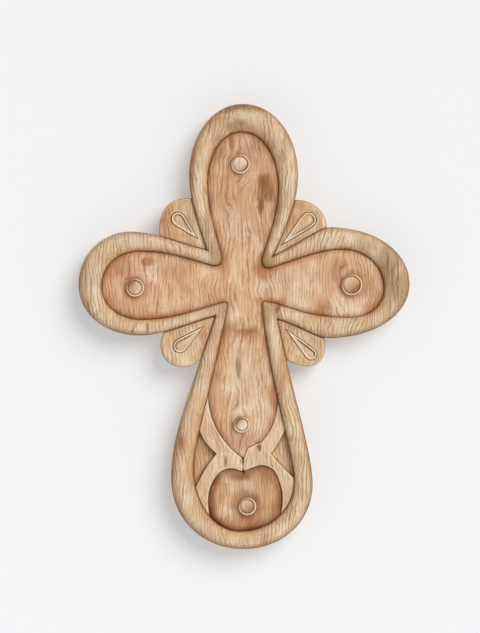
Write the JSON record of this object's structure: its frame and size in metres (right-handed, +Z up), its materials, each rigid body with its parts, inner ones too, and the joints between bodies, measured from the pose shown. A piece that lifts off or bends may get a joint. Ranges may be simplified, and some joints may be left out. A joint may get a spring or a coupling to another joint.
{
  "type": "wooden wall cross",
  "caption": "Wooden wall cross with rounded lobes, convex rims, petals, scrolls, turned studs and a hinged hanging ring at the back.",
  "frame": {"origin": "on the flat back face, at the middle of the crossing", "axes": "+Z up along the upright, +X to the right as seen from the front, -Y towards the viewer, +Y into the wall"},
  "size_m": [0.2219, 0.0195, 0.2983],
  "materials": {
    "board_wood": "planed, matt",
    "rim_wood": "sanded, satin oil",
    "panel_wood": "sanded, satin oil",
    "petal_wood": "sanded, satin oil",
    "pale_wood": "sanded, satin oil",
    "dark_wood": "sanded, matt stain",
    "brass": "brushed, slightly dulled"
  },
  "bodies": {
    "cross": {"back_upright": "board_wood", "back_crossbar": "board_wood", "rim_top": "rim_wood", "rim_right": "rim_wood", "rim_bottom": "rim_wood", "rim_left": "rim_wood", "inner_upright": "panel_wood", "inner_crossbar": "panel_wood", "foot_panel": "panel_wood", "petal_upper_right": "petal_wood", "petal_lower_right": "petal_wood", "petal_lower_left": "petal_wood", "petal_upper_left": "petal_wood", "drop_upper_right": "pale_wood", "drop_lower_right": "pale_wood", "drop_lower_left": "pale_wood", "drop_upper_left": "pale_wood", "scroll_left": "pale_wood", "scroll_right": "pale_wood", "ground_left": "dark_wood", "ground_right": "dark_wood", "stud_top": "pale_wood", "stud_right": "pale_wood", "stud_lower": "pale_wood", "stud_left": "pale_wood", "stud_foot": "pale_wood", "hanger_plate": "brass", "hanger_screw_left": "brass", "hanger_screw_right": "brass"},
    "ring": {"hanger_ring": "brass"}
  },
  "joints": [
    {"name": "ring_hinge", "type": "hinge", "parent": "cross", "child": "ring", "pos_m": [0, -0.00365, 0.092], "axis": [1, 0, 0], "range_deg": [0, 180]}
  ]
}
